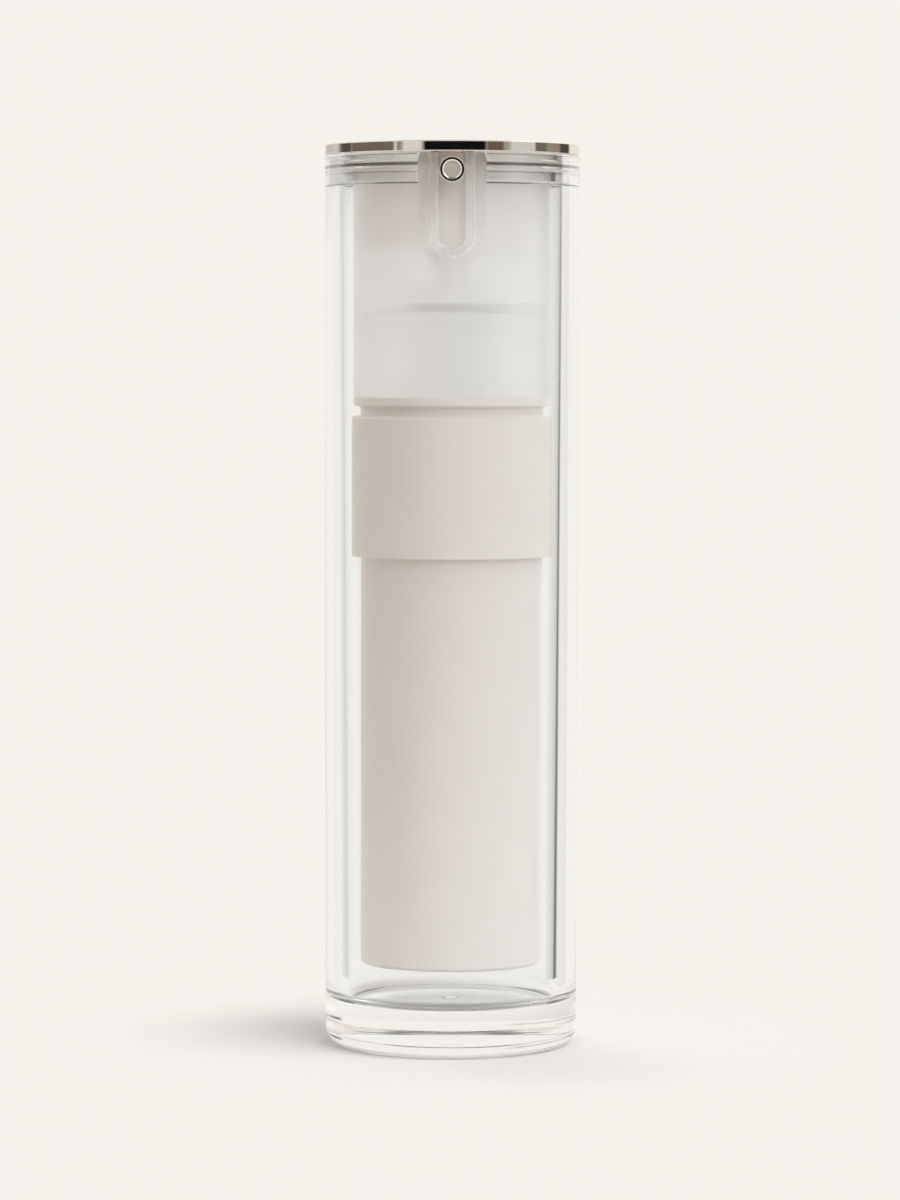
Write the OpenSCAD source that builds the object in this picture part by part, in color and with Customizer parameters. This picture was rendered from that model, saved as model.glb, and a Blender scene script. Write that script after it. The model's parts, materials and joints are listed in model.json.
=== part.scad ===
// Refillable airless pump bottle: a thick clear case, a polished trim ring, a clear shoulder,
// and a hanging white refill with its pump, spring, button and nozzle.
// Millimetres. Z is up, the table is z = 0, and the nozzle faces -Y.

/* [Case] */
// Outer diameter of the case at its rim
case_d = 36; // [34:0.5:42]
// Diameter that the outer wall loses from rim to foot, for mould draft
case_draft = 0.4; // [0:0.1:1]
// Height of the case rim above the table
case_h = 125.5; // [118:0.5:140]
// Thickness of the solid floor
base_t = 6.4; // [4:0.1:10]
// Wall thickness at the rim, below the seat
wall_t = 2.6; // [2:0.1:4]
// How much the bore narrows in radius from seat to floor
bore_taper = 0.8; // [0.2:0.1:1.4]
// Radius of the rounded foot
foot_round = 2.2; // [0.5:0.1:4]
// Radius of the round between the bore and its floor
floor_round = 1.5; // [0.5:0.1:3]
// Depth of the shallow recess under the foot
foot_recess = 0.5; // [0.2:0.1:1.5]
// Width of the flat ring that the foot stands on
foot_ring_w = 1.6; // [0.8:0.1:3]
// Diameter of the moulding gate mark in the middle of the floor and foot
gate_d = 2.8; // [1.5:0.1:4]

/* [Seat] */
// Depth of the seat that the shoulder ring drops into
seat_depth = 4.1; // [3.2:0.1:6]
// Radial step between the seat and the bore below it
seat_step = 0.15; // [0.1:0.05:0.4]

/* [Nozzle slot] */
// Width of the slot in the case
slot_w = 6; // [5:0.1:7.5]
// Clear height left under the nozzle at the end of its stroke
slot_spare = 1.55; // [0.2:0.05:3]
// Wall of the clear liner that stands in the slot
liner_t = 1.08; // [0.6:0.02:1.6]
// Border of thick case wall left standing on each side of the slot
pad_border = 1.45; // [0.8:0.05:2.5]

/* [Shoulder and trim] */
// Thickness of the polished trim ring
trim_t = 1.5; // [1:0.1:3]
// Depth of the trim ring's spigot in the shoulder ring
spigot_h = 1.6; // [1:0.1:2]
// Thickness of that spigot
spigot_t = 0.45; // [0.3:0.05:0.6]
// Radial wall of the shoulder ring
shoulder_t = 1.57; // [1.3:0.01:2.2]
// Height of the groove around the shoulder ring
land_groove_h = 1.2; // [0.6:0.1:1.4]
// Depth of that groove
land_groove_t = 0.3; // [0.1:0.05:0.5]
// Wall of the guide tube
guide_t = 0.6; // [0.4:0.05:1]

/* [Button] */
// Downward travel of the button
stroke = 7.5; // [4:0.5:9]
// Clear height between the nozzle and the trim ring
nozzle_gap = 0.75; // [0.4:0.05:1.5]
// Thickness of the metal cap on the button
cap_t = 1.2; // [0.8:0.1:1.6]
// Depth of the finger dish in the cap
dish_h = 0.5; // [0.2:0.1:0.7]
// Thickness of the button's top wall
button_top_t = 1.5; // [0.8:0.1:1.6]
// Wall of the button's skirt
skirt_t = 0.9; // [0.6:0.1:1.4]
// Wall of the metal ring around the nozzle
nozzle_ring_t = 0.47; // [0.3:0.01:0.6]
// Thickness of the soft slit valve in the nozzle
tip_t = 0.75; // [0.5:0.05:1.2]
// Depth of the socket that takes the stem
socket_depth = 2.9; // [2:0.1:4]
// Radial wall of that socket
socket_wall = 1.75; // [1:0.05:2.5]
// Clear height left between the socket and the dome at the end of the stroke
dome_clear = 2; // [0.5:0.1:4]

/* [Pump] */
// Bore of the pump chamber
chamber_d = 8; // [6.5:0.1:8.4]
// Wall of the pump chamber
chamber_t = 0.9; // [0.6:0.05:1.1]
// Outer diameter of the hollow stem
stem_d = 4.8; // [4:0.1:5]
// Bore of the hollow stem
stem_bore = 2.6; // [1.8:0.1:2.8]
// Height of the pump piston
piston_h = 3.5; // [2.5:0.1:5]
// Diameter of the inlet ball
ball_d = 3; // [2.6:0.1:3.2]
// Lift of the inlet ball from its seat
ball_lift = 0.8; // [0.4:0.1:1.2]
// Wire of the return spring
spring_wire = 0.7; // [0.4:0.05:0.8]
// Turns of the return spring
spring_turns = 8; // [5:1:9]
// Height of the pump shell under the guide tube
shell_h = 13; // [12:0.5:18]
// Wall of the pump shell
shell_t = 1; // [0.7:0.1:1.4]
// Diameter of the dome on the shell
dome_d = 18.4; // [16:0.2:20]
// Height of the dome on the shell
dome_h = 3.4; // [3:0.1:4]

/* [Refill] */
// Height of the white closure
closure_h = 22.5; // [18:0.5:30]
// Radial step from the closure's flange out to its body
closure_step = 0.24; // [0.1:0.02:0.5]
// Wall of the closure
closure_t = 1.24; // [0.9:0.02:1.6]
// Height of the flange at the closure's top
flange_h = 1.5; // [1:0.1:2]
// Height of the groove below that flange
groove_h = 1.3; // [0.8:0.1:1.6]
// Depth of that groove
groove_t = 1; // [0.5:0.1:1.2]
// Thickness of the closure's deck
deck_t = 3.5; // [3.3:0.1:5]
// Wall of the white bottle
bottle_t = 1; // [0.7:0.05:1.5]
// Thickness of the bottle's floor
bottle_floor_t = 1.2; // [0.8:0.1:2]
// Clear height between the hanging bottle and the case floor
foot_gap = 5.3; // [4.2:0.1:8]
// Height of the follower piston
follower_h = 9; // [8:0.5:12]
// Wall of the follower piston
follower_t = 1; // [0.7:0.1:1.5]

/* [Hidden] */
$fn = 96;

// Clearances
glue_gap = 0.03;     // between parts that are joined for good
drop_gap = 0.05;     // between parts that drop into each other
slide_gap = 0.2;     // round the button in its guide and in the trim ring
slot_gap = 0.07;     // each side of the liner in the case slot
nozzle_side = 0.1;   // each side of the nozzle in the liner
pad_gap = 0.1;       // each side of the slot border in the shoulder ring
stop_gap = 0.1;      // left at the end of a stroke
seal_gap = 0.05;     // between a piston and its bore
run_gap = 0.4;       // left between pump parts at full stroke
slot_lap = 0.05;     // how far the liner's bore hides the edge of the guide tube's slot
spring_side = 0.3;   // between the spring and the chamber inside it
column_gap = 0.15;   // between the spring's cap and the column round it

// Small fixed lengths
edge = 0.25;              // chamfer on rims
plain_rim_h = 0.9;        // plain rim of the shoulder ring, above its groove
liner_set_back = 0.2;     // how far the liner stops short of the case's outer wall
nozzle_set_back = 0.05;   // how far the nozzle stops short of it
tip_set_back = 0.2;       // how far the soft valve lies inside its ring
boss_step = 0.1;          // how much thinner the nozzle's boss is than its ring
ring_stand = 0.7;         // how far outside the guide tube the nozzle ring starts
duct_max_r = 0.9;         // the duct's radius, where its walls leave room for it
duct_roof_t = 0.25;       // least wall over the duct
duct_wall_t = 0.3;        // least wall round the duct at the nozzle
stem_drop = 2.45;         // from the nozzle's centre line down to the stem's end
spring_cap_lip = 0.1;     // how far the spring's cap reaches past the spring
spring_cap_t = 1.2;       // disc of that cap
spring_cap_tube_h = 3.5;  // tube under the disc
spring_cap_tube_t = 1.1;  // wall of that tube
column_t = 0.7;           // wall of the column round the spring
pocket_depth = 0.9;       // how far the spring's cap rises into the dome
piston_cover = 1.3;       // how far below the chamber's rim the piston stays
stem_foot_t = 0.8;        // the foot that the piston sits on
stem_foot_lip = 0.6;      // how far it reaches past the stem
retainer_t = 0.8;         // the drilled disc over the inlet ball
nose_h = 2.5;             // nose under the pump chamber
housing_flange_t = 1.2;   // flange of the pump housing
gasket_t = 0.8;           // washer under that flange
bead_rise = 7;            // from the closure's lower edge up to the snap bead
bead_h = 0.25;            // how far the bead stands out
vent_r = 0.75;            // air vent in the bottle's floor
nose_room = 0.6;          // round the chamber in the follower's cup
plug_depth = 0.2;         // how far above the closure's roof the column stops

// Case radii and heights
rim_r = case_d / 2;
foot_r = rim_r - case_draft / 2;
bore_r = rim_r - wall_t;
floor_r = bore_r - bore_taper;
seat_r = bore_r + seat_step;
seat_z = case_h - seat_depth;
gate_h = 0.3;        // depth of the gate mark's dimple

// Shoulder stack, from the rim outwards and upwards
trim_z = case_h + drop_gap;
trim_top = trim_z + trim_t;
shoulder_r = seat_r - drop_gap;
shoulder_in = shoulder_r - shoulder_t;
shoulder_z = seat_z + drop_gap;
guide_r = shoulder_in - glue_gap;
guide_in = guide_r - guide_t;
land_top = trim_z - plain_rim_h;

// Slot, liner and nozzle share one centre line
slot_r = slot_w / 2;
liner_r = slot_r - slot_gap;
liner_in = liner_r - liner_t;
nozzle_r = liner_in - nozzle_side;
nozzle_z = trim_z - nozzle_gap - nozzle_r;
slot_end_z = nozzle_z - stroke - slot_spare;
guide_slot_r = liner_in + slot_lap;
liner_front = rim_r - liner_set_back;
pad_r = slot_r + pad_border;
pad_face = guide_r + closure_step + slide_gap;
pad_top_cut = 0.5;   // how much narrower the border is at its top
pad_slope_h = 1.9;   // height over which it narrows
gap_r = pad_r + pad_gap;
gap_flare = 0.25;    // how far the shoulder ring's ends step back at the foot of that slope

// Button
button_r = guide_in - slide_gap;
cap_r = button_r;
cap_z = trim_top - stop_gap - cap_t;
button_roof = cap_z - button_top_t;
stem_top = nozzle_z - stem_drop;
socket_z = stem_top - socket_depth;
deck_z = socket_z - stroke - dome_clear - dome_h;
skirt_z = deck_z + stroke + stop_gap;
nozzle_front = rim_r - nozzle_set_back;
duct_r = min(duct_max_r, button_roof - nozzle_z - duct_roof_t, nozzle_r - nozzle_ring_t - duct_wall_t);
boss_r = nozzle_r - boss_step;
boss_tip_r = nozzle_r - nozzle_ring_t - glue_gap;
ring_back = guide_r + ring_stand;
tip_front = nozzle_front - tip_set_back;
tip_back = tip_front - tip_t;

// Pump, worked down from the dome
stem_r = stem_d / 2;
chamber_r = chamber_d / 2;
housing_r = chamber_r + chamber_t;
spring_in = housing_r + spring_side;
spring_mid = spring_in + spring_wire / 2;
spring_cap_r = spring_in + spring_wire + spring_cap_lip;
column_in = spring_cap_r + column_gap;
column_r = column_in + column_t;
spring_cap_tube_r = min(stem_r + spring_cap_tube_t, chamber_r - spring_side);
pocket_z = deck_z + pocket_depth;
spring_cap_top = pocket_z - stop_gap;
spring_top = spring_cap_top - spring_cap_t;
housing_top = spring_top - stroke - run_gap;
piston_top = housing_top - piston_cover;
piston_z = piston_top - piston_h;
stem_foot_r = stem_r + stem_foot_lip;
stem_z = piston_z - stem_foot_t;
retainer_z = stem_z - stroke - run_gap - retainer_t;
ball_r = ball_d / 2;
inlet_r = ball_r * 2 / 3;
ball_z = retainer_z - stop_gap / 2 - ball_lift - ball_r;
chamber_z = ball_z - sqrt(ball_r * ball_r - inlet_r * inlet_r) - glue_gap;
nose_z = chamber_z - nose_h;

// Refill stack
flange_top = deck_z - shell_h;
closure_z = flange_top - closure_h;
closure_r = guide_r + closure_step;
groove_r = guide_r - groove_t;
groove_top = flange_top - flange_h;
body_top = groove_top - groove_h;
closure_in = closure_r - closure_t;
roof_z = flange_top - deck_t;
bottle_top = roof_z - housing_flange_t - gasket_t;
bottle_r = closure_in - drop_gap;
bottle_in = bottle_r - bottle_t;
bottle_z = base_t + foot_gap;
bead_z = closure_z + bead_rise;
follower_z = bottle_z + bottle_floor_t + seal_gap;
follower_r = bottle_in - seal_gap;
follower_pocket_r = housing_r + nose_room;
column_plug_z = roof_z + plug_depth;

// Points on an arc, from one angle to another
function arc(c, r, from, to, n = 8) =
    [for (i = [0:n]) let (a = from + (to - from) * i / n) c + r * [cos(a), sin(a)]];

// A flat outline in X and Z, pushed along -Y between two distances from the axis
module along_front(near, far) {
    translate([0, -near, 0]) rotate([90, 0, 0]) linear_extrude(height = far - near) children();
}

// Outline of an upright slot, open at the top
module slot_outline(r, low, high) {
    translate([0, low]) circle(r = r);
    translate([-r, low]) square([2 * r, high - low]);
}

// Outline of the border left beside the slot, which narrows towards its top
module pad_outline(r, top, flare = 0) {
    slope_z = top - pad_slope_h;
    translate([0, slot_end_z]) circle(r = r);
    polygon([[-r, slot_end_z], [r, slot_end_z], [r, slope_z - flare], [r + flare, slope_z],
        [r - pad_top_cut, top], [-(r - pad_top_cut), top], [-(r + flare), slope_z],
        [-r, slope_z - flare]]);
}

// Plain tube between two heights
module tube(r_out, r_in, low, high) {
    rotate_extrude() translate([r_in, low]) square([r_out - r_in, high - low]);
}

// The clear case: thick floor, tapered bore, seat at the rim and a slot at the front
module outer_case() {
    foot_in = foot_r - foot_round - foot_ring_w;
    profile = concat(
        [[0, foot_recess + gate_h], [gate_d / 2, foot_recess], [foot_in - foot_recess, foot_recess],
            [foot_in, 0]],
        arc([foot_r - foot_round, foot_round], foot_round, -90, 0),
        [[rim_r, case_h - edge], [rim_r - edge, case_h], [seat_r + edge, case_h],
            [seat_r, case_h - edge], [seat_r, seat_z], [bore_r, seat_z]],
        arc([floor_r - floor_round, base_t + floor_round], floor_round, 0, -90),
        [[gate_d / 2, base_t], [0, base_t - gate_h]]);
    color([0.93, 0.95, 0.96, 0.35]) difference() {
        union() {
            rotate_extrude() polygon(profile);
            intersection() {
                along_front(pad_face, bore_r + 1) pad_outline(pad_r, case_h);
                cylinder(r = bore_r + 0.9, h = case_h);
            }
        }
        along_front(pad_face - 1, rim_r + 1) slot_outline(slot_r, slot_end_z, case_h + 1);
    }
}

// The polished ring on the rim, with a spigot that drops into the shoulder ring
module trim_ring() {
    hole_r = cap_r + slide_gap;
    color([0.72, 0.71, 0.70]) {
        rotate_extrude() polygon([[hole_r, trim_z], [rim_r - edge, trim_z], [rim_r, trim_z + edge],
            [rim_r, trim_top - edge], [rim_r - edge, trim_top], [hole_r + edge, trim_top],
            [hole_r, trim_top - edge]]);
        difference() {
            tube(shoulder_in + spigot_t, shoulder_in, trim_z - spigot_h, trim_z + trim_t / 2);
            along_front(0, rim_r) pad_outline(gap_r, trim_z, gap_flare);
        }
    }
}

// The clear ring in the case seat, open at the front beside the slot border
module shoulder_ring() {
    recess_r = shoulder_in + spigot_t + glue_gap;
    color([0.93, 0.95, 0.96, 0.35]) difference() {
        rotate_extrude() polygon([[shoulder_in, shoulder_z], [shoulder_r - edge, shoulder_z],
            [shoulder_r, shoulder_z + edge], [shoulder_r, land_top - land_groove_h],
            [shoulder_r - land_groove_t, land_top - land_groove_h],
            [shoulder_r - land_groove_t, land_top], [shoulder_r, land_top], [shoulder_r, trim_z - edge],
            [shoulder_r - edge, trim_z], [recess_r, trim_z], [recess_r, trim_z - spigot_h - glue_gap],
            [shoulder_in, trim_z - spigot_h - glue_gap]]);
        along_front(0, rim_r) pad_outline(gap_r, trim_z + 0.01, gap_flare);
    }
}

// The clear U-shaped frame that the nozzle runs in
module slot_liner() {
    color([0.93, 0.95, 0.96, 0.35]) intersection() {
        difference() {
            along_front(guide_in, rim_r) slot_outline(liner_r, slot_end_z, trim_z);
            along_front(guide_in - 1, rim_r + 1) slot_outline(liner_in, slot_end_z, trim_z + 1);
            cylinder(r = guide_r + glue_gap, h = trim_z + 1);
        }
        cylinder(r = liner_front, h = trim_z + 1);
    }
}

// The frosted tube that guides the button and holds the shoulder ring
module guide_tube() {
    color([0.90, 0.90, 0.89, 0.6]) difference() {
        tube(guide_r, guide_in, deck_z, trim_z);
        along_front(guide_in - 1, guide_r + 1) slot_outline(guide_slot_r, slot_end_z, trim_z + 1);
    }
}

// The shell over the pump: outer wall, deck, dome and the inner column round the spring
module pump_shell() {
    dome_r = dome_d / 2;
    ball = (dome_r * dome_r + dome_h * dome_h) / (2 * dome_h);
    color([0.92, 0.92, 0.91, 0.7]) difference() {
        rotate_extrude() {
            polygon([[guide_r - shell_t, flange_top], [guide_r, flange_top], [guide_r, deck_z - edge],
                [guide_r - edge, deck_z], [0, deck_z], [0, deck_z - 1.2],
                [guide_r - shell_t, deck_z - 1.2]]);
            translate([column_in, column_plug_z]) square([column_r - column_in, deck_z - column_plug_z]);
            intersection() {
                translate([0, deck_z + dome_h - ball]) circle(r = ball);
                translate([0, deck_z - 0.5]) square([dome_r, dome_h + 1]);
            }
        }
        translate([0, 0, column_plug_z - 1]) cylinder(r = column_in, h = pocket_z - column_plug_z + 1);
        cylinder(r = stem_r + 0.2, h = deck_z + dome_h + 1);
    }
}

// The white closure: snaps over the bottle and clamps the pump on its rim
module closure() {
    snap_r = bottle_r + bead_h + drop_gap;
    color([0.93, 0.92, 0.90]) rotate_extrude() polygon([[closure_in, closure_z], [closure_r, closure_z],
        [closure_r, body_top - 0.4], [closure_r - 0.4, body_top], [groove_r, body_top],
        [groove_r, groove_top], [guide_r - 0.3, groove_top], [guide_r, groove_top + 0.5],
        [guide_r, flange_top - edge], [guide_r - edge, flange_top], [column_r + glue_gap, flange_top],
        [column_r + glue_gap, roof_z], [closure_in, roof_z], [closure_in, bead_z + 1],
        [snap_r, bead_z + 0.6], [snap_r, bead_z - 0.6], [closure_in, bead_z - 1]]);
}

// The soft washer between the bottle's rim and the pump's flange
module neck_gasket() {
    color([0.55, 0.56, 0.58]) tube(bottle_r, bottle_in, bottle_top, bottle_top + gasket_t);
}

// The pump chamber: flange on the bottle's rim, ball seat and inlet at the bottom
module pump_housing() {
    cage_r = ball_r + 0.15;
    cage_h = ball_d * 0.7;
    flange_z = bottle_top + gasket_t;
    color([0.93, 0.93, 0.92, 0.8]) difference() {
        union() {
            rotate_extrude() {
                translate([chamber_r, nose_z + 1]) square([chamber_t, housing_top - nose_z - 1]);
                polygon([[inlet_r, nose_z], [inlet_r + 1.4, nose_z], [housing_r, nose_z + 1],
                    [housing_r, chamber_z], [inlet_r, chamber_z]]);
                translate([chamber_r, flange_z]) square([bottle_r - chamber_r, housing_flange_t]);
            }
            tube(cage_r + 0.7, cage_r, chamber_z - 0.1, chamber_z + cage_h);
        }
        for (turn = [0, 90]) rotate([0, 0, turn]) translate([-chamber_r, -0.4, chamber_z])
            cube([chamber_d, 0.8, cage_h + 1]);
    }
}

// The drilled disc that keeps the inlet ball in its cage
module ball_retainer() {
    color([0.80, 0.80, 0.80]) difference() {
        translate([0, 0, retainer_z]) cylinder(r = chamber_r - glue_gap, h = retainer_t);
        for (turn = [45:90:315]) rotate([0, 0, turn])
            translate([chamber_r * 0.62, 0, retainer_z - 1]) cylinder(r = 0.75, h = retainer_t + 2);
    }
}

// The white bottle, with a snap bead under the closure and an air vent in its floor
module inner_bottle() {
    round_r = 1.2;
    color([0.94, 0.93, 0.91]) rotate_extrude() polygon(concat(
        [[vent_r, bottle_z]],
        arc([bottle_r - round_r, bottle_z + round_r], round_r, -90, 0),
        [[bottle_r, bead_z - 0.7], [bottle_r + bead_h, bead_z - 0.4], [bottle_r + bead_h, bead_z + 0.4],
            [bottle_r, bead_z + 0.7], [bottle_r, bottle_top], [bottle_in, bottle_top],
            [bottle_in, bottle_z + bottle_floor_t], [vent_r, bottle_z + bottle_floor_t]]));
}

// The ball that closes the chamber's inlet
module inlet_ball() {
    color([0.75, 0.76, 0.78]) translate([0, 0, ball_z]) sphere(r = ball_r);
}

// The piston that follows the product up the bottle: a cup that clears the pump's nose, a deck
// round it, and an outer wall lipped at both ends
module follower_piston() {
    lip = 1.4;
    waist = follower_r - 0.5;
    top = follower_z + follower_h;
    deck = top - 1.6;
    cup_r = follower_pocket_r + follower_t;
    floor_z = follower_z + follower_t;
    color([0.90, 0.90, 0.88]) rotate_extrude() polygon([[0, follower_z], [cup_r, follower_z],
        [cup_r, deck - follower_t], [waist - follower_t, deck - follower_t],
        [waist - follower_t, follower_z + lip], [waist - 0.4, follower_z],
        [follower_r, follower_z + 0.3], [follower_r, follower_z + lip], [waist, follower_z + 2 * lip],
        [waist, top - 2 * lip], [follower_r, top - lip], [follower_r, top],
        [follower_r - follower_t, top], [waist - follower_t - 0.6, deck], [follower_pocket_r, deck],
        [follower_pocket_r, floor_z], [0, floor_z]]);
}

// Points of the spring's wire: rings of a given number of sides along the helix
function spring_ring(i, n, sides) =
    let (turn = spring_turns * 360 * i / n,
        closed = 0.9,
        t = i / n * spring_turns,
        low = roof_z + spring_wire / 2,
        high = spring_top - spring_wire / 2,
        rise = high - low - 2 * closed * spring_wire,
        z = t < 1 ? low + t * closed * spring_wire
            : t > spring_turns - 1 ? high - (spring_turns - t) * closed * spring_wire
            : low + closed * spring_wire + rise * (t - 1) / (spring_turns - 2))
    [for (k = [0:sides - 1]) let (a = 360 * k / sides, r = spring_mid + spring_wire / 2 * cos(a))
        [r * cos(turn), r * sin(turn), z + spring_wire / 2 * sin(a)]];

// The return spring, standing on the pump's flange round the chamber
module return_spring() {
    sides = 6;
    n = spring_turns * 20;
    points = [for (i = [0:n]) each spring_ring(i, n, sides)];
    walls = [for (i = [0:n - 1], k = [0:sides - 1]) let (a = i * sides + k, b = i * sides + (k + 1) % sides)
        [a, a + sides, b + sides, b]];
    caps = [[for (k = [0:sides - 1]) k], [for (k = [sides - 1:-1:0]) n * sides + k]];
    color([0.70, 0.71, 0.73]) polyhedron(points = points, faces = concat(walls, caps), convexity = 10);
}

// The disc on the stem that the spring pushes up against the dome
module spring_cap() {
    color([0.88, 0.88, 0.86]) {
        tube(spring_cap_r, stem_r + glue_gap, spring_top, spring_cap_top);
        tube(spring_cap_tube_r, stem_r + glue_gap, spring_top - spring_cap_tube_h, spring_top);
    }
}

// The hollow stem from the piston up into the button
module stem() {
    color([0.93, 0.93, 0.92]) rotate_extrude() polygon([[stem_bore / 2, stem_z], [stem_foot_r, stem_z],
        [stem_foot_r, piston_z - glue_gap], [stem_r, piston_z - glue_gap], [stem_r, stem_top - 0.3],
        [stem_r - 0.3, stem_top], [stem_bore / 2, stem_top]]);
}

// The pump piston, with a lip at each end
module pump_piston() {
    r = chamber_r - seal_gap;
    color([0.85, 0.87, 0.90]) rotate_extrude() polygon([[stem_r + glue_gap, piston_z], [r - 0.5, piston_z],
        [r, piston_z + 0.2], [r, piston_z + 0.8], [r - 0.4, piston_z + 1.3], [r - 0.4, piston_top - 1.3],
        [r, piston_top - 0.8], [r, piston_top - 0.2], [r - 0.5, piston_top],
        [stem_r + glue_gap, piston_top]]);
}

// The button's body: skirt, roof, socket for the stem, and the duct out to the nozzle
module actuator() {
    color([0.94, 0.94, 0.93, 0.85]) difference() {
        union() {
            rotate_extrude() {
                polygon([[button_r - skirt_t, skirt_z], [button_r, skirt_z], [button_r, cap_z - edge],
                    [button_r - edge, cap_z], [0, cap_z], [0, button_roof],
                    [button_r - skirt_t, button_roof]]);
                translate([0, socket_z]) square([stem_r + socket_wall, button_roof - socket_z + 0.1]);
            }
            translate([0, 0, nozzle_z]) rotate([90, 0, 0]) cylinder(r = boss_r, h = ring_back - glue_gap);
            translate([0, 0, nozzle_z]) rotate([90, 0, 0]) cylinder(r = boss_tip_r, h = tip_back - glue_gap);
        }
        translate([0, 0, socket_z - 1])
            cylinder(r = stem_r + glue_gap, h = stem_top + glue_gap - socket_z + 1);
        translate([0, 0, socket_z]) cylinder(r = stem_bore / 2, h = nozzle_z - socket_z);
        translate([0, 0, nozzle_z]) rotate([90, 0, 0]) cylinder(r = duct_r, h = rim_r);
    }
}

// The dished metal disc on the button
module button_cap() {
    top = cap_z + cap_t;
    dish_r = cap_r - edge;
    ball = (dish_r * dish_r + dish_h * dish_h) / (2 * dish_h);
    dish = arc([0, top - dish_h + ball], ball, -90, -90 + asin(dish_r / ball), 12);
    color([0.74, 0.73, 0.72]) rotate_extrude()
        polygon(concat([[0, cap_z], [cap_r, cap_z], [cap_r, top - edge]], [for (i = [12:-1:0]) dish[i]]));
}

// The metal ring round the nozzle
module nozzle_ring() {
    round_r = 0.15;
    color([0.74, 0.73, 0.72]) translate([0, 0, nozzle_z]) rotate([90, 0, 0]) rotate_extrude()
        polygon([[nozzle_r - nozzle_ring_t, ring_back], [nozzle_r, ring_back],
            [nozzle_r, nozzle_front - round_r], [nozzle_r - round_r, nozzle_front],
            [nozzle_r - nozzle_ring_t + round_r, nozzle_front],
            [nozzle_r - nozzle_ring_t, nozzle_front - round_r]]);
}

// The soft valve in the nozzle, closed by its own slit
module nozzle_tip() {
    slit = 0.06;
    color([0.72, 0.70, 0.69]) difference() {
        translate([0, -tip_back, nozzle_z]) rotate([90, 0, 0]) cylinder(r = boss_tip_r, h = tip_t);
        translate([-boss_tip_r / 2, -tip_front - 1, nozzle_z - slit / 2]) cube([boss_tip_r, tip_t + 2, slit]);
    }
}

outer_case();
trim_ring();
shoulder_ring();
slot_liner();
guide_tube();
pump_shell();
closure();
neck_gasket();
pump_housing();
ball_retainer();
inner_bottle();
inlet_ball();
follower_piston();
return_spring();
spring_cap();
stem();
pump_piston();
actuator();
button_cap();
nozzle_ring();
nozzle_tip();
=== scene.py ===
# Looks of a refillable airless pump bottle. Metres, +Z up, and the nozzle faces -Y.
# The outlines are written in millimetres, as (radius, height) or (across, height), and scaled when built.
import json
import math

import bmesh
import bpy
import numpy as np
from mathutils import Matrix, Vector


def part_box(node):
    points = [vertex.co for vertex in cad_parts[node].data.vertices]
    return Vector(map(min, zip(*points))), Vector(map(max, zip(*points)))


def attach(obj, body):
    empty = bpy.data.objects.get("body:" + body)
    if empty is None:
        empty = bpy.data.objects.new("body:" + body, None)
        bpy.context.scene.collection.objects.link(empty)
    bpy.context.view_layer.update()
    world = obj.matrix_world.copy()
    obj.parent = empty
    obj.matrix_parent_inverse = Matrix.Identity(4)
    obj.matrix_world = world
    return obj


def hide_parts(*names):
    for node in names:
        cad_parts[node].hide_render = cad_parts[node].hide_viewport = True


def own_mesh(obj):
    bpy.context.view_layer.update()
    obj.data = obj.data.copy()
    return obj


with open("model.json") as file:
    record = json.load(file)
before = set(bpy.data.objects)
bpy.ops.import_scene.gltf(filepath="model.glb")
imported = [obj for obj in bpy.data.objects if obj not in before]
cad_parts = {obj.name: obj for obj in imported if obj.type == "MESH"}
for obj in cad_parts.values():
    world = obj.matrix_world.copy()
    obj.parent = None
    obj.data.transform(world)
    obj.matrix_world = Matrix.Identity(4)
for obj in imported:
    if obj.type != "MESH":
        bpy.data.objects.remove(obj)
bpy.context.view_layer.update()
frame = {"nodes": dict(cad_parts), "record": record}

MM = 0.001
SIDES = 256          # facets round a large turned piece
SMALL_SIDES = 96     # facets round a small one
ARC_STEPS = 6        # points along a rounded corner


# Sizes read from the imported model, in millimetres

spigot_h = 1.6       # how far the trim ring's spigot hangs below the ring


def low(node):
    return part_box(node)[0] / MM


def high(node):
    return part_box(node)[1] / MM


case_r = high("outer_case").x
case_top = high("outer_case").z
trim_z = low("trim_ring").z + spigot_h
trim_top = high("trim_ring").z
shoulder_r = high("shoulder_ring").x
shoulder_z = low("shoulder_ring").z
guide_r = high("guide_tube").x
deck_z = low("guide_tube").z
flange_top = high("closure").z
closure_r = high("closure").x
closure_z = low("closure").z
bottle_z = low("inner_bottle").z
bottle_top = high("inner_bottle").z
cap_r = high("button_cap").x
cap_z = low("button_cap").z
cap_top = high("button_cap").z
nozzle_r = high("nozzle_ring").x
nozzle_z = (low("nozzle_ring").z + high("nozzle_ring").z) / 2
nozzle_front = -low("nozzle_ring").y
ring_back = -high("nozzle_ring").y
tip_front = -low("nozzle_tip").y
tip_back = -high("nozzle_tip").y
tip_r = high("nozzle_tip").x
liner_r = high("slot_liner").x
liner_front = -low("slot_liner").y
slot_end_z = low("slot_liner").z + liner_r
spring_r = high("return_spring").x
spring_low = low("return_spring").z
spring_high = high("return_spring").z

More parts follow.
